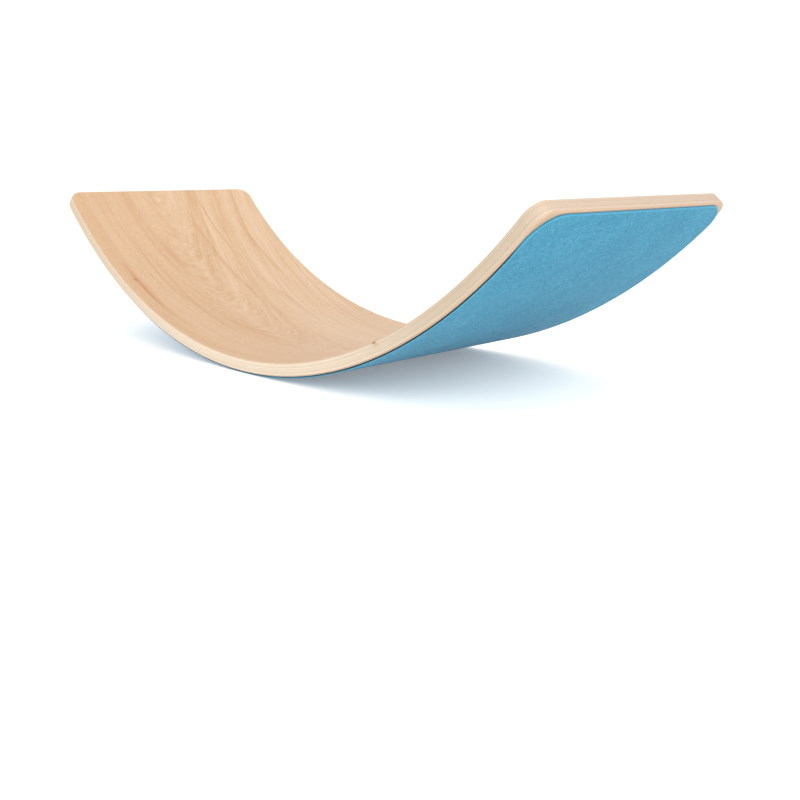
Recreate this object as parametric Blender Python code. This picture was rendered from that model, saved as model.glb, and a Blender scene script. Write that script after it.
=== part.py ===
"""Curved balance board: a bent laminate of thin wood plies with a felt pad on its convex face.

The board stands in its rocking pose, hollow side up. +X runs along the length, +Y across the
width and +Z up. The origin is on the ground, under the middle of the felt. All sizes are metres.

Every layer is a sheet with one thickness. Its outline is drawn flat, as it would be cut, with
arc positions measured along the hollow face, and is then bent round one common axis.
"""

import math

import bmesh
import bpy

# Driving dimensions of the wood
BOARD_WIDTH = 0.300
BLANK_LENGTH = 0.920            # along the hollow face, from end to end
HOLLOW_RADIUS = 0.550           # bend radius of the hollow face
CORNER_RADIUS = 0.018           # the four corners, seen square to the face
EDGE_ROUNDING = 0.002           # round-over between each face and the edge
FACE_VENEER_THICKNESS = 0.0012
CORE_PLY_THICKNESS = 0.00104
CORE_PLY_COUNT = 9
GLUE_LINE = 0.0003              # space between two plies

# Driving dimensions of the felt
FELT_THICKNESS = 0.002
FELT_SETBACK = 0.0003           # flat bare wood between the round-over and the felt
FELT_CORNER_RADIUS = 0.030
FELT_BOND = 0.0003              # space between the wood and the felt

# Fineness of the facets
BEND_FACETS = 31                # odd, so that one flat facet lies across the bottom
CORNER_FACETS = 5

# Sizes worked out from the above
BOARD_THICKNESS = (2 * FACE_VENEER_THICKNESS + CORE_PLY_COUNT * CORE_PLY_THICKNESS
                   + (CORE_PLY_COUNT + 1) * GLUE_LINE)
FELT_INNER_DEPTH = BOARD_THICKNESS + FELT_BOND
FELT_OUTER_DEPTH = FELT_INNER_DEPTH + FELT_THICKNESS
BEND_PITCH = (BLANK_LENGTH - 2 * CORNER_RADIUS) / BEND_FACETS
HALF_FACET_ANGLE = BEND_PITCH / 2 / HOLLOW_RADIUS
BEND_AXIS_HEIGHT = (HOLLOW_RADIUS + FELT_OUTER_DEPTH) * math.cos(HALF_FACET_ANGLE)

# Surface finishes: colour, roughness, metallic
FINISHES = {
    "face_veneer": ((0.78, 0.55, 0.37, 1.0), 0.45, 0.0),
    "long_grain_ply": ((0.87, 0.74, 0.54, 1.0), 0.55, 0.0),
    "cross_grain_ply": ((0.80, 0.65, 0.46, 1.0), 0.65, 0.0),
    "blue_felt": ((0.10, 0.36, 0.54, 1.0), 0.95, 0.0),
}


def clear_scene():
    for thing in list(bpy.data.objects):
        bpy.data.objects.remove(thing, do_unlink=True)


def make_material(name):
    colour, roughness, metallic = FINISHES[name]
    material = bpy.data.materials.new(name)
    material.use_nodes = True
    shader = material.node_tree.nodes["Principled BSDF"]
    shader.inputs["Base Color"].default_value = colour
    shader.inputs["Roughness"].default_value = roughness
    shader.inputs["Metallic"].default_value = metallic
    material.diffuse_color = colour
    return material


def rounded_edge_inset(depth):
    """How far the round-over has drawn the outline in, at a depth below the hollow face."""
    below_nearer_face = min(depth, BOARD_THICKNESS - depth)
    short_of_full = max(EDGE_ROUNDING - below_nearer_face, 0.0)
    return EDGE_ROUNDING - math.sqrt(EDGE_ROUNDING ** 2 - short_of_full ** 2)


def cut_lines(length, width, corner_radius):
    """Lines across a round-cornered rectangle, as pairs of arc position and half width."""
    straight_end = length / 2 - corner_radius
    corner_lines = []
    for step in range(CORNER_FACETS + 1):
        turn = math.pi / 2 * step / CORNER_FACETS
        position = straight_end + corner_radius * math.sin(turn)
        half_width = width / 2 - corner_radius * (1 - math.cos(turn))
        corner_lines.append((position, half_width))
    last_bend_line = straight_end - BEND_PITCH / 4
    bend_lines = []
    position = BEND_PITCH / 2
    while position < last_bend_line:
        bend_lines.append((position, width / 2))
        position += BEND_PITCH
    right_half = bend_lines + corner_lines
    left_half = [(-position, half_width) for position, half_width in reversed(right_half)]
    return left_half + right_half


def bend(position, across, depth):
    """The place of a point of the flat blank once the blank is bent."""
    angle = position / HOLLOW_RADIUS
    radius = HOLLOW_RADIUS + depth
    return (radius * math.sin(angle), across, BEND_AXIS_HEIGHT - radius * math.cos(angle))


def make_layer(name, faces, material, collection):
    """One bent sheet. faces holds (depth, cut lines) for its hollow and its convex face."""
    columns = len(faces[0][1]) - 1
    mesh_data = bmesh.new()
    bmesh.ops.create_grid(mesh_data, x_segments=columns, y_segments=1, size=1.0)
    bmesh.ops.recalc_face_normals(mesh_data, faces=mesh_data.faces)
    extruded = bmesh.ops.extrude_face_region(mesh_data, geom=mesh_data.faces[:])
    raised = {item for item in extruded["geom"] if isinstance(item, bmesh.types.BMVert)}
    for vertex in mesh_data.verts:
        depth, lines = faces[0] if vertex in raised else faces[1]
        position, half_width = lines[round((vertex.co.x + 1) / 2 * columns)]
        vertex.co = bend(position, math.copysign(half_width, vertex.co.y), depth)
    bmesh.ops.recalc_face_normals(mesh_data, faces=mesh_data.faces)
    mesh = bpy.data.meshes.new(name)
    mesh_data.to_mesh(mesh)
    mesh_data.free()
    mesh.shade_smooth()
    mesh.set_sharp_from_angle(angle=math.radians(30))
    mesh.materials.append(material)
    layer = bpy.data.objects.new(name, mesh)
    collection.objects.link(layer)
    return layer


def wood_face(depth):
    inset = rounded_edge_inset(depth)
    lines = cut_lines(BLANK_LENGTH - 2 * inset, BOARD_WIDTH - 2 * inset, CORNER_RADIUS - inset)
    return depth, lines


def felt_face(depth):
    margin = EDGE_ROUNDING + FELT_SETBACK
    lines = cut_lines(BLANK_LENGTH - 2 * margin, BOARD_WIDTH - 2 * margin, FELT_CORNER_RADIUS)
    return depth, lines


def make_plies(collection):
    """The face veneers and, between them, core plies whose grain runs across and along in turn."""
    veneer = make_material("face_veneer")
    cores = {"cross": make_material("cross_grain_ply"), "long": make_material("long_grain_ply")}
    layers = [("face_veneer_top", FACE_VENEER_THICKNESS, veneer)]
    for number in range(CORE_PLY_COUNT):
        grain = ("cross", "long")[number % 2]
        layers.append((f"ply_{number + 2:02d}_{grain}", CORE_PLY_THICKNESS, cores[grain]))
    layers.append(("face_veneer_bottom", FACE_VENEER_THICKNESS, veneer))
    depth = 0.0
    for name, thickness, material in layers:
        faces = (wood_face(depth), wood_face(depth + thickness))
        make_layer(name, faces, material, collection)
        depth += thickness + GLUE_LINE


def make_felt_pad(collection):
    faces = (felt_face(FELT_INNER_DEPTH), felt_face(FELT_OUTER_DEPTH))
    make_layer("felt_pad", faces, make_material("blue_felt"), collection)


def main():
    clear_scene()
    board = bpy.data.collections.new("balance_board")
    bpy.context.scene.collection.children.link(board)
    make_plies(board)
    make_felt_pad(board)


main()
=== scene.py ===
"""Looks of the curved balance board: eleven bent wood layers and a felt pad, on a pale studio floor.

Every layer is drawn flat first. "Position" is measured along the hollow face from the middle of
the board, "across" is the place across the width, and "depth" is measured from the hollow face
through the board. bend() takes a flat point to its place on the bent board. The same three flat
coordinates are kept on each mesh as the vector attribute FLAT, and all wood grain and felt
patterns are laid out in them. All sizes are metres unless a name says otherwise.
"""

import math

import bpy
from mathutils import Matrix, Quaternion, Vector, noise


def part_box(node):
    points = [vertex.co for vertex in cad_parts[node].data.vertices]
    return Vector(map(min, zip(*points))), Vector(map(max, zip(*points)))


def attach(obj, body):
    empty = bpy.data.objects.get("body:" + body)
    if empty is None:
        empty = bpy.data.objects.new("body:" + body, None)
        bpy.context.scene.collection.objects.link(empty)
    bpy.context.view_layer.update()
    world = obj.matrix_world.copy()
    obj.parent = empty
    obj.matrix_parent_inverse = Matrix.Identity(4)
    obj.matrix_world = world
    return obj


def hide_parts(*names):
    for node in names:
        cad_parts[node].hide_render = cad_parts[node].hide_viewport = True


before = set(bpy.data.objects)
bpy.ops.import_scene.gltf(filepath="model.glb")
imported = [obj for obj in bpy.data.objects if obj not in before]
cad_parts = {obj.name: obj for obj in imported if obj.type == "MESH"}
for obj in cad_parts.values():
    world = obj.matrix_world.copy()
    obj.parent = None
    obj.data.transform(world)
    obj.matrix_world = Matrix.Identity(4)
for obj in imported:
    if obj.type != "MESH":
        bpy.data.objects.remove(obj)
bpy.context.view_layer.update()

# The board, as it is cut and bent
HOLLOW_RADIUS = 0.550
BLANK_LENGTH = 0.920
CORNER_RADIUS = 0.018
EDGE_ROUNDING = 0.002
FACE_VENEER_THICKNESS = 0.0012
CORE_PLY_THICKNESS = 0.00104
CORE_PLY_COUNT = 9
GLUE_LINE = 0.0003
FELT_THICKNESS = 0.002
FELT_MARGIN = 0.0023                # from the board's outline to the felt's
FELT_CORNER_RADIUS = 0.030
FELT_BOND = 0.0003                  # glue between the wood and the felt
BOARD_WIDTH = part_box("ply_05_long")[1].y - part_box("ply_05_long")[0].y
BOARD_THICKNESS = (2 * FACE_VENEER_THICKNESS + CORE_PLY_COUNT * CORE_PLY_THICKNESS
                   + (CORE_PLY_COUNT + 1) * GLUE_LINE)
FELT_OUTER_DEPTH = BOARD_THICKNESS + FELT_BOND + FELT_THICKNESS
BEND_AXIS_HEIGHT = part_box("face_veneer_top")[0].z + HOLLOW_RADIUS + FACE_VENEER_THICKNESS

# How the cut layers are finished
OPEN_JOINT = 0.00006                # the part of a glue line that is seen as a fine groove
PLY_EASING = 0.00008                # tiny chamfer along each ply's edge
FELT_RIM_ROUNDING = 0.0010          # of the felt's outer border
FELT_BACK_GAP = 0.00003             # keeps the felt's back just off the wood
FELT_WAVER = 0.00012                # how far the felt's outline wanders
FELT_LOFT = 0.00008                 # how uneven the felt's face is

# Attributes kept on each mesh
FLAT = "flat"                       # a point's place on the flat blank
RIM = "rim"                         # how far it lies inside its layer's outline

# Mesh fineness
STRAIGHT_STATIONS = 150
CORNER_STATIONS = 10
ROUNDING_STEPS = 6
FELT_ROUNDING_STEPS = 5
FACE_ROWS, CORE_ROWS, FELT_ROWS = 24, 6, 40
WOOD_BORDER = 0.006                 # between a wood face's outline and the grid inside it
SHARP_EDGE_ANGLE = math.radians(40)


# ---------------------------------------------------------------- bent layers

def bend(position, across, depth):
    """The place of a point of the flat blank once the blank is bent."""
    angle = position / HOLLOW_RADIUS
    radius = HOLLOW_RADIUS + depth
    return Vector((radius * math.sin(angle), across, BEND_AXIS_HEIGHT - radius * math.cos(angle)))


def rounded_edge_inset(depth):
    """How far the round-over has drawn the outline in, at a depth below the hollow face."""
    short_of_full = max(EDGE_ROUNDING - min(depth, BOARD_THICKNESS - depth), 0.0)
    return EDGE_ROUNDING - math.sqrt(max(EDGE_ROUNDING ** 2 - short_of_full ** 2, 0.0))


class Outline:
    """A rectangle with round corners, cut into columns along its length and rows across it."""

    def __init__(self, length, width, corner_radius, rows):
        self.length, self.width, self.corner_radius = length, width, corner_radius
        self.columns = STRAIGHT_STATIONS + 2 * CORNER_STATIONS
        self.rows = rows

    def station(self, column, inset):
        """Position and half width of a column, on the outline drawn in by inset."""
        radius = max(self.corner_radius - inset, 0.0)
        straight_end = self.length / 2 - self.corner_radius
        half_width = self.width / 2 - inset
        from_end = min(column, self.columns - column)
        side = -1 if column < self.columns / 2 else 1
        if from_end >= CORNER_STATIONS:
            share = (column - CORNER_STATIONS) / STRAIGHT_STATIONS
            return (2 * share - 1) * straight_end, half_width
        turn = math.pi / 2 * (1 - from_end / CORNER_STATIONS)
        position = side * (straight_end + radius * math.sin(turn))
        return position, half_width - radius * (1 - math.cos(turn))

    def place(self, column, row, inset):
        position, half_width = self.station(column, inset)
        return position, half_width * (2 * row / self.rows - 1)

    def border(self):
        """Columns and rows of the grid points on the outline, once round."""
        along = [(column, 0) for column in range(self.columns)]
        up = [(self.columns, row) for row in range(self.rows)]
        back = [(column, self.rows) for column in range(self.columns, 0, -1)]
        down = [(0, row) for row in range(self.rows, 0, -1)]
        return along + up + back + down


def make_layer(name, outline, rings, shape=bend):
    """A closed bent sheet. rings holds (inset, depth) pairs from inside one face, over the edge,
    to inside the other face. Each face is closed by a grid inside its own ring."""
    flat_points, rim_distances, faces = [], [], []

    def add_points(corners, inset, depth):
        first = len(flat_points)
        flat_points.extend((*outline.place(*corner, inset), depth) for corner in corners)
        rim_distances.extend([inset] * len(corners))
        return first

    def add_grid(inset, depth):
        columns, rows = range(outline.columns + 1), range(outline.rows + 1)
        return add_points([(column, row) for column in columns for row in rows], inset, depth)

    def grid_index(first, column, row):
        return first + column * (outline.rows + 1) + row

    hollow_side = add_grid(*rings[0])
    convex_side = add_grid(*rings[-1])
    for column in range(outline.columns):
        for row in range(outline.rows):
            corners = [(column, row), (column + 1, row), (column + 1, row + 1), (column, row + 1)]
            faces.append([grid_index(hollow_side, *corner) for corner in corners])
            faces.append([grid_index(convex_side, *corner) for corner in reversed(corners)])

    border = outline.border()
    loops = [[grid_index(hollow_side, *corner) for corner in border]]
    for inset, depth in rings[1:-1]:
        first = add_points(border, inset, depth)
        loops.append(list(range(first, first + len(border))))
    loops.append([grid_index(convex_side, *corner) for corner in border])
    for upper, lower in zip(loops, loops[1:]):
        for here, after in zip(range(-1, len(border) - 1), range(len(border))):
            faces.append([upper[after], upper[here], lower[here], lower[after]])

    mesh = bpy.data.meshes.new(name)
    mesh.from_pydata([shape(*point) for point in flat_points], [], faces)
    flat = mesh.attributes.new(FLAT, "FLOAT_VECTOR", "POINT")
    flat.data.foreach_set("vector", [number for point in flat_points for number in point])
    rim = mesh.attributes.new(RIM, "FLOAT", "POINT")
    rim.data.foreach_set("value", rim_distances)
    mesh.shade_smooth()
    mesh.set_sharp_from_angle(angle=SHARP_EDGE_ANGLE)
    piece = bpy.data.objects.new(name, mesh)
    bpy.context.scene.collection.objects.link(piece)
    weighting = piece.modifiers.new("even shading", "WEIGHTED_NORMAL")
    weighting.keep_sharp = True
    return piece


def wood_rings(top, bottom):
    """Rings of one ply between two depths, on the board's rounded edge, with eased arrises."""
    eased_top = top + (PLY_EASING if top > 0 else 0.0)
    eased_bottom = bottom - (PLY_EASING if bottom < BOARD_THICKNESS else 0.0)
    depths = [eased_top, eased_bottom]
    for step in range(ROUNDING_STEPS + 1):
        swing = EDGE_ROUNDING * (1 - math.cos(math.pi / 2 * step / ROUNDING_STEPS))
        depths += [swing, BOARD_THICKNESS - swing]
    depths = sorted({round(depth, 7) for depth in depths if eased_top <= depth <= eased_bottom})
    rings = [(rounded_edge_inset(depth), depth) for depth in depths]
    if eased_top > top:
        rings.insert(0, (rings[0][0] + PLY_EASING, top))
    if eased_bottom < bottom:
        rings.append((rings[-1][0] + PLY_EASING, bottom))
    return [(WOOD_BORDER, top)] + rings + [(WOOD_BORDER, bottom)]


def make_wood_layers():
    """The two face veneers and the nine core plies, as (piece, node, slot), from the hollow side."""
    layers = [("hollow_face_veneer", "face_veneer_top", "face_veneer", FACE_VENEER_THICKNESS)]
    for number in range(CORE_PLY_COUNT):
        grain = ("cross", "long")[number % 2]
        label = f"{number + 2:02d}_{grain}"
        layers.append((f"core_ply_{label}", f"ply_{label}", f"{grain}_grain_ply", CORE_PLY_THICKNESS))
    layers.append(("convex_face_veneer", "face_veneer_bottom", "face_veneer", FACE_VENEER_THICKNESS))
    spread = (GLUE_LINE - OPEN_JOINT) / 2
    made, depth = [], 0.0
    for name, node, slot, thickness in layers:
        top = max(depth - spread, 0.0)
        bottom = min(depth + thickness + spread, BOARD_THICKNESS)
        rows = FACE_ROWS if slot == "face_veneer" else CORE_ROWS
        outline = Outline(BLANK_LENGTH, BOARD_WIDTH, CORNER_RADIUS, rows)
        made.append((make_layer(name, outline, wood_rings(top, bottom)), node, slot))
        depth += thickness + GLUE_LINE
    return made


def make_felt():
    """The felt pad: a soft-edged sheet, a little uneven, pressed flat where the board stands on it."""
    length, width = BLANK_LENGTH - 2 * FELT_MARGIN, BOARD_WIDTH - 2 * FELT_MARGIN
    outline = Outline(length, width, FELT_CORNER_RADIUS, FELT_ROWS)
    inner, outer, rounding = BOARD_THICKNESS + FELT_BACK_GAP, FELT_OUTER_DEPTH, FELT_RIM_ROUNDING
    rings = [(0.008, inner), (0.0003, inner), (0.0001, inner + 0.0004), (0.0, outer - rounding)]
    for step in range(1, FELT_ROUNDING_STEPS + 1):
        turn = math.pi / 2 * step / FELT_ROUNDING_STEPS
        rings.append((rounding * (1 - math.cos(turn)), outer - rounding * (1 - math.sin(turn))))
    rings += [(0.0015, outer), (0.0030, outer), (0.0055, outer), (0.009, outer)]

    def shape(position, across, depth):
        share = (depth - inner) / (outer - inner)
        waver = noise.noise(Vector((position * 70, across * 70, 0.0))) * FELT_WAVER * share
        loft = noise.noise(Vector((position * 45, across * 45, 3.0))) * FELT_LOFT * share
        toward_middle = 1 - waver / (BOARD_WIDTH / 2)
        place = (position * toward_middle, across * toward_middle)
        point = bend(*place, depth + loft - FELT_LOFT * share)
        point.z = max(point.z, 0.0)
        return point

    return make_layer("felt_cover", outline, rings, shape)


# ---------------------------------------------------------------- materials

class Nodes:
    """A short way to write one material's node tree."""

    def __init__(self, name):
        self.material = bpy.data.materials.new(name)
        self.material.use_nodes = True
        self.tree = self.material.node_tree
        self.shader = self.tree.nodes["Principled BSDF"]

    def add(self, kind, inputs=(), **settings):
        node = self.tree.nodes.new(kind)
        for key, value in settings.items():
            setattr(node, key, value)
        for key, value in dict(inputs).items():
            self.feed(node.inputs[key], value)
        return node

    def feed(self, socket, value):
        if isinstance(value, bpy.types.NodeSocket):
            self.tree.links.new(value, socket)
        else:
            socket.default_value = value

    def flat(self):
        """The flat coordinates of the surface."""
        return self.add("ShaderNodeAttribute", attribute_name=FLAT).outputs["Vector"]

    def scaled(self, vector, scale, offset=(0, 0, 0)):
        node = self.add("ShaderNodeMapping", {"Vector": vector, "Scale": scale, "Location": offset})
        return node.outputs["Vector"]

    def noise(self, vector, scale, detail=2.0, roughness=0.5, distortion=0.0):
        settings = {"Vector": vector, "Scale": scale, "Detail": detail,
                    "Roughness": roughness, "Distortion": distortion}
        return self.add("ShaderNodeTexNoise", settings).outputs["Fac"]

    def math(self, operation, first, second=0.0, third=0.0):
        node = self.add("ShaderNodeMath", operation=operation)
        for socket, value in zip(node.inputs, (first, second, third)):
            self.feed(socket, value)
        return node.outputs["Value"]

    def span(self, value, low, high, to_low=0.0, to_high=1.0):
        """value taken smoothly from the span low..high to the span to_low..to_high."""
        settings = {"Value": value, "From Min": low, "From Max": high,
                    "To Min": to_low, "To Max": to_high}
        node = self.add("ShaderNodeMapRange", settings, interpolation_type="SMOOTHSTEP")
        return node.outputs["Result"]

    def split(self, vector):
        return self.add("ShaderNodeSeparateXYZ", {"Vector": vector}).outputs

    def join(self, x=0.0, y=0.0, z=0.0):
        return self.add("ShaderNodeCombineXYZ", {"X": x, "Y": y, "Z": z}).outputs["Vector"]

    def mix(self, factor, first, second, blend="MIX"):
        node = self.add("ShaderNodeMix", data_type="RGBA", blend_type=blend)
        for name, value in (("Factor_Float", factor), ("A_Color", first), ("B_Color", second)):
            socket = next(s for s in node.inputs if s.identifier == name)
            self.feed(socket, value)
        return next(s for s in node.outputs if s.identifier == "Result_Color")

    def stain(self, base, share, strength, second):
        """base with some of a second colour, up to strength where share is 1."""
        return self.mix(self.math("MULTIPLY", share, strength), base, second)

    def ramp(self, value, stops):
        node = self.add("ShaderNodeValToRGB", {"Fac": value})
        ramp = node.color_ramp
        while len(ramp.elements) < len(stops):
            ramp.elements.new(0.5)
        for element, (place, colour) in zip(ramp.elements, stops):
            element.position = place
            element.color = (*colour, 1.0)
        return node.outputs["Color"]

    def bump(self, height, strength, distance):
        settings = {"Height": height, "Strength": strength, "Distance": distance}
        return self.add("ShaderNodeBump", settings).outputs["Normal"]

    def finish(self, colour, roughness, normal=None, **plain):
        self.feed(self.shader.inputs["Base Color"], colour)
        self.feed(self.shader.inputs["Roughness"], roughness)
        if normal is not None:
            self.feed(self.shader.inputs["Normal"], normal)
        for name, value in plain.items():
            self.shader.inputs[name.replace("_", " ")].default_value = value
        return self.material


def colour(red, green, blue):
    return (red, green, blue, 1.0)


def mark(nodes, vector, centre, half_length, half_width, slope=0.0):
    """A long soft spot in the first two coordinates: 1 in its middle, falling to 0 at its border."""
    shifted = nodes.add("ShaderNodeMapping", {
        "Vector": vector, "Location": (-centre[0], -centre[1], 0.0)}).outputs["Vector"]
    turned = nodes.add("ShaderNodeMapping", {
        "Vector": shifted, "Rotation": (0.0, 0.0, -slope),
        "Scale": (1 / half_length, 1 / half_width, 0.0)}).outputs["Vector"]
    distance = nodes.add("ShaderNodeVectorMath", {0: turned}, operation="LENGTH").outputs["Value"]
    return nodes.span(distance, 1.0, 0.0)


def edge_marks(nodes, flat, base):
    """A knot cut through on the long edge at -Y, with its stains, laid over the colour base."""
    position, across, depth = nodes.split(flat)
    edge_plane = nodes.join(position, depth)
    on_near_edge = nodes.span(across, 0.0045 - BOARD_WIDTH / 2, 0.0020 - BOARD_WIDTH / 2)
    for centre, half_length, half_depth, slope, strength, tint in (
            ((0.2320, 0.0032), 0.0056, 0.0044, 0.0, 0.68, colour(0.46, 0.28, 0.10)),
            ((0.2335, 0.0105), 0.0022, 0.0050, 0.0, 0.25, colour(0.50, 0.30, 0.18)),
            ((0.1500, 0.0128), 0.0080, 0.0010, 0.0, 0.45, colour(0.60, 0.38, 0.17)),
            ((0.2295, 0.0006), 0.0046, 0.0028, 0.3, 0.95, colour(0.18, 0.08, 0.03))):
        spot = mark(nodes, edge_plane, centre, half_length, half_depth, slope)
        base = nodes.stain(base, nodes.math("MULTIPLY", spot, on_near_edge), strength, tint)
    return base


def veneer_growth(nodes, position, across, wander):
    """The place across the cathedral figure, and the growth, or distance from the tree's middle.

    The growth rings are nested cones cut lengthwise. The cut passes slice_height from their axis,
    which leans a little across the board.
    """
    slice_height, taper, lean, off_middle = 0.085, 0.085, 0.070, 0.044
    figure_across = nodes.math("MULTIPLY_ADD", position, lean, across)
    figure_across = nodes.math("ADD", figure_across, off_middle)
    squared = nodes.math("MULTIPLY_ADD", figure_across, figure_across, slice_height ** 2)
    growth = nodes.math("MULTIPLY_ADD", position, taper, nodes.math("SQRT", squared))
    return figure_across, nodes.math("MULTIPLY_ADD", wander, 0.011, growth)


def growth_lines(nodes, flat, growth, base):
    """Dark and pale growth lines laid over base, clearest along the middle of the figure."""
    ring_width, ripple_size = 0.0021, 0.0056
    ripple = nodes.noise(nodes.scaled(flat, (26.0, 60.0, 1.0)), 1.0, 3.0, 0.6)
    ring_place = nodes.math("MULTIPLY_ADD", ripple, ripple_size, growth)
    phase = nodes.math("FRACT", nodes.math("DIVIDE", ring_place, ring_width))
    dark = nodes.math("MULTIPLY", nodes.span(phase, 0.15, 0.75), nodes.span(phase, 0.98, 0.78))
    pale = nodes.math("MULTIPLY", nodes.span(phase, 0.0, 0.12), nodes.span(phase, 0.34, 0.14))
    near_figure = mark(nodes, flat, (-0.16, -0.030), 0.36, 0.075)
    patchy = nodes.noise(nodes.scaled(flat, (11.0, 30.0, 1.0), (5.0, 0.0, 0.0)), 1.0, 2.0, 0.5)
    clearness = nodes.math("MULTIPLY", nodes.span(near_figure, 0.0, 0.6, 0.25, 1.0),
                           nodes.span(patchy, 0.36, 0.62))
    dark, pale = (nodes.math("MULTIPLY", line, clearness) for line in (dark, pale))
    base = nodes.stain(base, dark, 0.20, colour(0.38, 0.19, 0.08))
    return nodes.stain(base, pale, 0.24, colour(0.57, 0.43, 0.31))


def veneer_lines_and_knots(nodes, flat, wander, base):
    """Single darker lines and small knots, laid over the colour base."""
    position, across, _ = nodes.split(flat)
    bent = nodes.math("MULTIPLY_ADD", wander, 0.010, nodes.math("ADD", across, -0.005))
    wandering = nodes.join(position, bent)
    for centre, half_length, half_width, slope, strength in (
            ((-0.300, 0.021), 0.170, 0.0015, -0.13, 0.55),
            ((-0.280, 0.018), 0.230, 0.0045, -0.13, 0.22),
            ((-0.390, 0.050), 0.120, 0.0022, -0.04, 0.55),
            ((-0.200, 0.062), 0.065, 0.0035, -0.07, 0.42),
            ((-0.190, 0.056), 0.100, 0.0070, -0.07, 0.22),
            ((-0.320, 0.098), 0.130, 0.0050, -0.05, 0.30),
            ((-0.255, -0.131), 0.085, 0.0030, 0.02, 0.75),
            ((-0.250, -0.129), 0.130, 0.0070, 0.02, 0.30),
            ((-0.300, -0.094), 0.160, 0.0016, 0.00, 0.45),
            ((-0.200, -0.083), 0.150, 0.0020, 0.03, 0.40),
            ((-0.330, -0.052), 0.070, 0.0090, 0.03, 0.28)):
        line = mark(nodes, wandering, centre, half_length, half_width, slope)
        base = nodes.stain(base, line, strength, colour(0.37, 0.165, 0.062))
    for centre, half_length, half_width, strength in (
            ((-0.276, -0.133), 0.0062, 0.0048, 0.45),
            ((-0.276, -0.133), 0.0026, 0.0020, 0.60),
            ((-0.220, -0.003), 0.0042, 0.0016, 0.60),
            ((-0.162, -0.006), 0.0038, 0.0014, 0.60)):
        knot = mark(nodes, flat, centre, half_length, half_width)
        base = nodes.stain(base, knot, strength, colour(0.28, 0.11, 0.045))
    return base


def veneer_rims(nodes, flat, base):
    """Where the round-overs cut across the face veneers.

    The hollow rim shows wood as pale as the core, with a painted highlight making it palest toward
    -Y, and painted shade darkening it toward the end at +X. Painted shade also dulls the convex
    veneer, seen only as a strip round the felt, to a darker brown.
    """
    position, across, depth = nodes.split(flat)
    hollow_rim = nodes.math("MULTIPLY", nodes.span(depth, 0.00002, 0.00080),
                            nodes.span(depth, 0.006, 0.004))
    # pale cut-across wood on the hollow rim, with a painted highlight strongest toward -Y
    rim_paleness_and_painted_highlight = nodes.math("MULTIPLY", hollow_rim, nodes.span(across, 0.10, -0.10, 0.25, 1.0))
    base = nodes.mix(rim_paleness_and_painted_highlight, base, colour(0.520, 0.422, 0.322))
    # painted shade: the hollow rim darkens toward the end at +X
    rim_painted_shade = nodes.math("MULTIPLY", hollow_rim, nodes.span(position, 0.12, 0.37))
    base = nodes.mix(rim_painted_shade, base, colour(0.72, 0.70, 0.68), "MULTIPLY")
    # painted shade: the convex veneer's strip round the felt is dulled to a darker brown
    return nodes.mix(nodes.span(depth, 0.008, 0.010, 0.0, 0.75), base,
                     colour(0.390, 0.292, 0.208))


def face_veneer_material():
    """Peach-coloured, sliced veneer: streaks that flow round a cathedral figure, small knots."""
    nodes = Nodes("face_veneer_oiled")
    flat = nodes.flat()
    position, across, _ = nodes.split(flat)
    wander = nodes.noise(nodes.scaled(flat, (4.0, 11.0, 1.0)), 1.0, 3.0, 0.5)
    figure_across, growth = veneer_growth(nodes, position, across, wander)

    # grain, from broad bands to single fibres, with its own pattern on each side of the figure
    side = nodes.span(figure_across, -0.020, 0.020, 0.0, 1.6)
    flow = nodes.join(position, growth, side)
    band = nodes.noise(nodes.scaled(flow, (2.0, 65.0, 1.0)), 1.0, 2.0, 0.55, 0.2)
    streak = nodes.noise(nodes.scaled(flow, (6.0, 280.0, 1.0)), 1.0, 4.0, 0.66, 0.3)
    fleck = nodes.noise(nodes.scaled(flow, (150.0, 700.0, 1.0)), 1.0, 3.0, 0.6, 0.4)
    fibre = nodes.noise(nodes.scaled(flow, (45.0, 1500.0, 1.0)), 1.0, 2.0, 0.6)
    blend = nodes.math("MULTIPLY_ADD", band, 0.42, nodes.math("MULTIPLY", streak, 0.58))
    pale, middle, deep = (0.580, 0.432, 0.308), (0.536, 0.374, 0.238), (0.452, 0.275, 0.148)
    base = nodes.ramp(blend, [(0.33, deep), (0.50, middle), (0.65, pale)])

    # a painted reflection pales the tone toward +X; the tone is deeper toward the long edge at -Y
    painted_reflection = nodes.span(nodes.math("MULTIPLY_ADD", wander, 0.25, position), -0.25, 0.35, 0.0, 0.35)
    base = nodes.mix(painted_reflection, base, colour(0.545, 0.414, 0.322))
    near_tone = nodes.span(nodes.math("MULTIPLY_ADD", wander, 0.03, across), 0.09, -0.10, 0.0, 0.50)
    base = nodes.mix(near_tone, base, colour(0.458, 0.290, 0.170))

    base = growth_lines(nodes, flat, growth, base)
    base = nodes.mix(nodes.span(fibre, 0.45, 0.75, 0.0, 0.18), base, colour(0.38, 0.22, 0.115))
    base = nodes.mix(nodes.span(fleck, 0.52, 0.70, 0.0, 0.24), base, colour(0.64, 0.49, 0.36))
    base = nodes.mix(nodes.span(fleck, 0.48, 0.30, 0.0, 0.18), base, colour(0.40, 0.235, 0.125))
    base = veneer_lines_and_knots(nodes, flat, wander, base)
    base = veneer_rims(nodes, flat, base)
    base = edge_marks(nodes, flat, base)

    height = nodes.math("MULTIPLY_ADD", fibre, 0.5, nodes.math("MULTIPLY", streak, 0.5))
    normal = nodes.bump(height, 0.10, 0.0004)
    roughness = nodes.span(streak, 0.3, 0.7, 0.48, 0.58)
    return nodes.finish(base, roughness, normal, Specular_IOR_Level=0.35)


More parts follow.
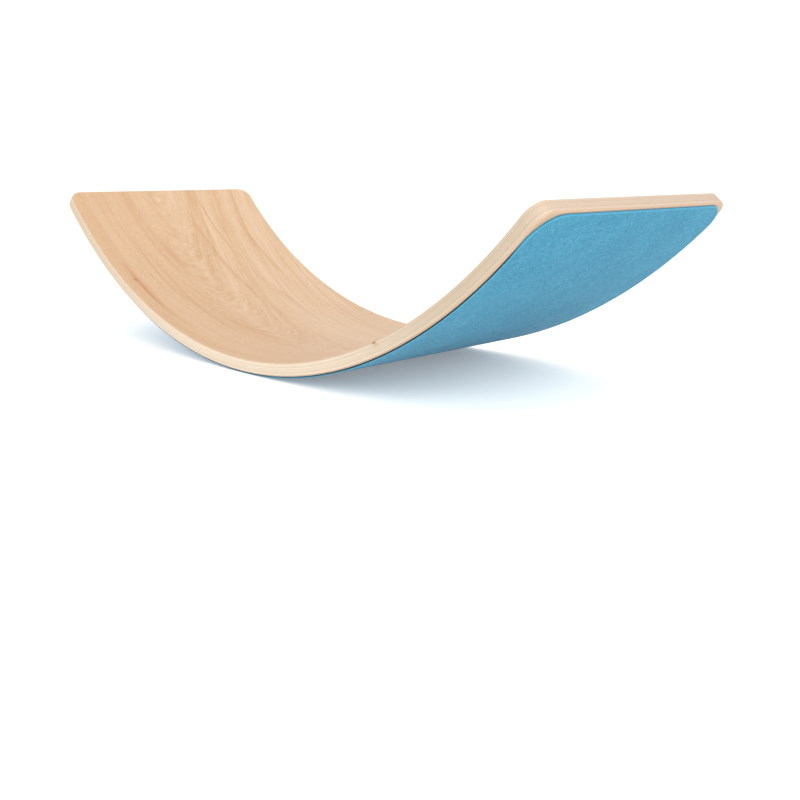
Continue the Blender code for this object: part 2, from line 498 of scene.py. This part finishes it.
def core_ply_material(name, along, light, dark):
    """Pale core wood. along is the fineness of its grain in the three flat directions."""
    nodes = Nodes(name)
    flat = nodes.flat()
    position, _, depth = nodes.split(flat)
    sheet = nodes.math("DIVIDE", depth, CORE_PLY_THICKNESS + GLUE_LINE)
    offset = nodes.join(0.0, 0.0, nodes.math("FLOOR", sheet))
    own = nodes.add("ShaderNodeVectorMath", {0: flat, 1: offset}, operation="ADD").outputs["Vector"]
    tone = nodes.noise(nodes.scaled(own, (2.0, 2.0, 7.3)), 1.0, 1.0, 0.5)
    fibre = nodes.noise(nodes.scaled(own, along), 1.0, 3.0, 0.6)
    pores = nodes.noise(nodes.scaled(own, tuple(3.1 * number for number in along)), 1.0, 2.0, 0.6)
    blend = nodes.math("MULTIPLY_ADD", tone, 0.6, nodes.math("MULTIPLY", fibre, 0.4))
    base = nodes.ramp(blend, [(0.32, dark), (0.66, light)])
    base = nodes.mix(nodes.span(pores, 0.52, 0.72, 0.0, 0.32), base, colour(0.42, 0.31, 0.19))

    # here and there, glue has soaked into the sheets along their joints
    off_middle = nodes.math("ABSOLUTE", nodes.math("SUBTRACT", nodes.math("FRACT", sheet), 0.5))
    soaked = nodes.math("MULTIPLY", nodes.span(off_middle, 0.36, 0.47), nodes.span(tone, 0.35, 0.60))
    base = nodes.stain(base, soaked, 0.30, colour(0.36, 0.25, 0.14))

    # the two outermost core plies are the whitest, painted shade darkens the wood toward both
    # raised ends, most toward +X, and the cut end faces are lighter again
    from_middle = nodes.math("ABSOLUTE", nodes.math("SUBTRACT", depth, BOARD_THICKNESS / 2))
    outermost = BOARD_THICKNESS / 2 - FACE_VENEER_THICKNESS - GLUE_LINE - CORE_PLY_THICKNESS
    base = nodes.mix(nodes.span(from_middle, outermost - 0.0004, outermost, 0.0, 0.6), base,
                     colour(0.620, 0.540, 0.435))
    # painted shade: the edges darken toward the raised ends, most toward +X
    for reach, tint in (((0.12, 0.37), colour(0.75, 0.735, 0.715)),
                        ((-0.08, -0.34), colour(0.945, 0.915, 0.890))):
        base = nodes.mix(nodes.span(position, *reach), base, tint, "MULTIPLY")
    on_end_face = nodes.span(nodes.math("ABSOLUTE", position),
                             BLANK_LENGTH / 2 - 0.0100, BLANK_LENGTH / 2 - 0.0015)
    base = nodes.mix(on_end_face, base, colour(1.12, 1.07, 1.09), "MULTIPLY")
    base = edge_marks(nodes, flat, base)
    normal = nodes.bump(nodes.math("ADD", fibre, pores), 0.15, 0.0003)
    roughness = nodes.span(fibre, 0.3, 0.7, 0.50, 0.62)
    return nodes.finish(base, roughness, normal, Specular_IOR_Level=0.3)


def felt_material():
    """Blue wool-like felt: matted fibres, a painted rim highlight, a darker cut edge partly in painted
    shade, a few stray specks.
    """
    nodes = Nodes("blue_felt_fibres")
    flat = nodes.flat()
    position, _, depth = nodes.split(flat)
    rim = nodes.add("ShaderNodeAttribute", attribute_name=RIM).outputs["Fac"]
    cloud = nodes.noise(nodes.scaled(flat, (16.0, 22.0, 1.0)), 1.0, 2.0, 0.5)
    clump = nodes.noise(nodes.scaled(flat, (330.0, 330.0, 200.0)), 1.0, 2.0, 0.6, 1.5)
    hair = nodes.noise(nodes.scaled(flat, (1100.0, 800.0, 900.0)), 1.0, 2.0, 0.7, 2.5)
    blend = nodes.math("MULTIPLY_ADD", clump, 0.55, nodes.math("MULTIPLY", hair, 0.45))
    tufts = nodes.math("MULTIPLY_ADD", cloud, 0.12, nodes.math("MULTIPLY", blend, 0.88))
    base = nodes.ramp(tufts, [(0.36, (0.016, 0.144, 0.248)), (0.50, (0.031, 0.206, 0.330)),
                              (0.62, (0.068, 0.287, 0.420))])

    # stray dark fibres, in one small cell out of every few
    cells = nodes.add("ShaderNodeTexVoronoi", {
        "Vector": nodes.scaled(flat, (1.0, 1.4, 1.0)), "Scale": 60.0, "Randomness": 1.0})
    fleck = nodes.span(cells.outputs["Distance"], 0.045, 0.020)
    chosen = nodes.span(nodes.split(cells.outputs["Color"])[0], 0.70, 0.74)
    base = nodes.stain(base, nodes.math("MULTIPLY", fleck, chosen), 0.55,
                       colour(0.020, 0.070, 0.100))

    # a painted highlight lightens the rim's loose fibres, and the cut edge below them is darker,
    # partly as painted shade. That painted shade is darkest on the rise toward +X; at the end there
    # a painted highlight makes the cut edge nearly as light as the face, and it is grey toward -X.
    base = nodes.mix(nodes.span(rim, 0.0006, 0.0024, 0.40, 0.0), base, colour(0.080, 0.335, 0.490))
    below_rim = nodes.span(depth, FELT_OUTER_DEPTH - 0.0004, FELT_OUTER_DEPTH - 0.0012)
    # the cut edge's colour carries painted shade on the rise and a painted highlight at the +X end
    cut_edge_with_painted_shade = nodes.mix(nodes.span(position, 0.05, 0.20), colour(0.022, 0.115, 0.175),
                         colour(0.004, 0.022, 0.038))
    cut_edge_with_painted_shade = nodes.mix(nodes.span(position, 0.02, -0.10), cut_edge_with_painted_shade, colour(0.150, 0.165, 0.200))
    cut_edge_with_painted_shade = nodes.mix(nodes.span(position, 0.405, 0.435), cut_edge_with_painted_shade, colour(0.028, 0.180, 0.285))
    base = nodes.mix(below_rim, base, cut_edge_with_painted_shade)
    normal = nodes.bump(tufts, 0.40, 0.0006)
    return nodes.finish(base, 0.95, normal, Specular_IOR_Level=0.15, Sheen_Weight=0.08,
                        Sheen_Roughness=0.5)


# ---------------------------------------------------------------- camera, light and floor

CAMERA_PLACE = (0.8545, -0.7214, 0.2175)
CAMERA_HEADING, CAMERA_PITCH, CAMERA_ROLL = 136.18, -13.89, -0.49       # degrees
CAMERA_LENS, CAMERA_SENSOR = 40.945, 36.0                               # millimetres
FLOOR_SIZE = 12.0
SKY_COLOUR, SKY_STRENGTH = (1.0, 0.985, 0.965), 1.13
WARM_LIGHT = (1.0, 0.94, 0.87)
WHITE_PAINT, DULL_PAINT = colour(0.97, 0.97, 0.97), colour(0.90, 0.90, 0.90)


def make_camera():
    camera = bpy.data.objects.new("camera", bpy.data.cameras.new("camera"))
    bpy.context.scene.collection.objects.link(camera)
    camera.data.lens = CAMERA_LENS
    camera.data.sensor_width = CAMERA_SENSOR
    heading, pitch, roll = map(math.radians, (CAMERA_HEADING, CAMERA_PITCH, CAMERA_ROLL))
    forward = Vector((math.cos(pitch) * math.cos(heading), math.cos(pitch) * math.sin(heading),
                      math.sin(pitch)))
    turn = forward.to_track_quat("-Z", "Y") @ Quaternion((0, 0, 1), roll)
    camera.matrix_world = Matrix.Translation(CAMERA_PLACE) @ turn.to_matrix().to_4x4()
    bpy.context.scene.camera = camera


def area_light(name, place, target, size, power, tint=(1.0, 1.0, 1.0)):
    """A rectangular lamp of a size in metres and a power in watts, turned toward the target."""
    light = bpy.data.lights.new(name, "AREA")
    light.color = tint
    light.shape = "RECTANGLE"
    light.size, light.size_y = size
    light.energy = power
    lamp = bpy.data.objects.new(name, light)
    bpy.context.scene.collection.objects.link(lamp)
    turn = (Vector(target) - Vector(place)).to_track_quat("-Z", "Y")
    lamp.matrix_world = Matrix.Translation(place) @ turn.to_matrix().to_4x4()


def make_studio():
    scene = bpy.context.scene
    scene.view_settings.view_transform = "Standard"
    scene.view_settings.look = "None"
    world = bpy.data.worlds.new("studio")
    world.use_nodes = True
    sky = world.node_tree.nodes["Background"].inputs
    sky["Color"].default_value = colour(*SKY_COLOUR)
    sky["Strength"].default_value = SKY_STRENGTH
    scene.world = world
    area_light("overhead", (0.1, 0.1, 2.0), (0.0, 0.0, 0.0), (2.2, 2.2), 5.0)
    area_light("low_front", (-0.08, -0.50, 0.10), (-0.08, 0.0, 0.06), (0.25, 0.10), 0.18)
    area_light("front_right", (1.55, -1.10, 0.90), (0.0, 0.0, 0.05), (1.0, 1.3), 24.0, WARM_LIGHT)

    bpy.ops.mesh.primitive_plane_add(size=FLOOR_SIZE, location=(0.0, 0.0, 0.0))
    floor = bpy.context.object
    floor.name = "studio_floor"
    nodes = Nodes("studio_floor_paint")
    paint = nodes.noise(nodes.add("ShaderNodeTexCoord").outputs["Object"], 3.0, 2.0)
    floor.data.materials.append(nodes.finish(
        nodes.mix(nodes.math("MULTIPLY", paint, 0.01), WHITE_PAINT, DULL_PAINT), 0.9,
        Specular_IOR_Level=0.0, Emission_Color=colour(1.0, 0.93, 0.89), Emission_Strength=0.21))


# ---------------------------------------------------------------- assembly

def assemble():
    materials = {
        "face_veneer": face_veneer_material(),
        "long_grain_ply": core_ply_material("core_ply_lengthwise", (30.0, 900.0, 900.0),
                                            (0.585, 0.515, 0.426), (0.522, 0.438, 0.341)),
        "cross_grain_ply": core_ply_material("core_ply_crosswise", (900.0, 30.0, 900.0),
                                             (0.562, 0.484, 0.392), (0.496, 0.406, 0.305)),
        "blue_felt": felt_material(),
    }
    felt = make_felt()
    for piece, node, slot in make_wood_layers() + [(felt, "felt_pad", "blue_felt")]:
        piece.data.materials.append(materials[slot])
        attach(piece, "root")
        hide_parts(node)


make_camera()
make_studio()
assemble()
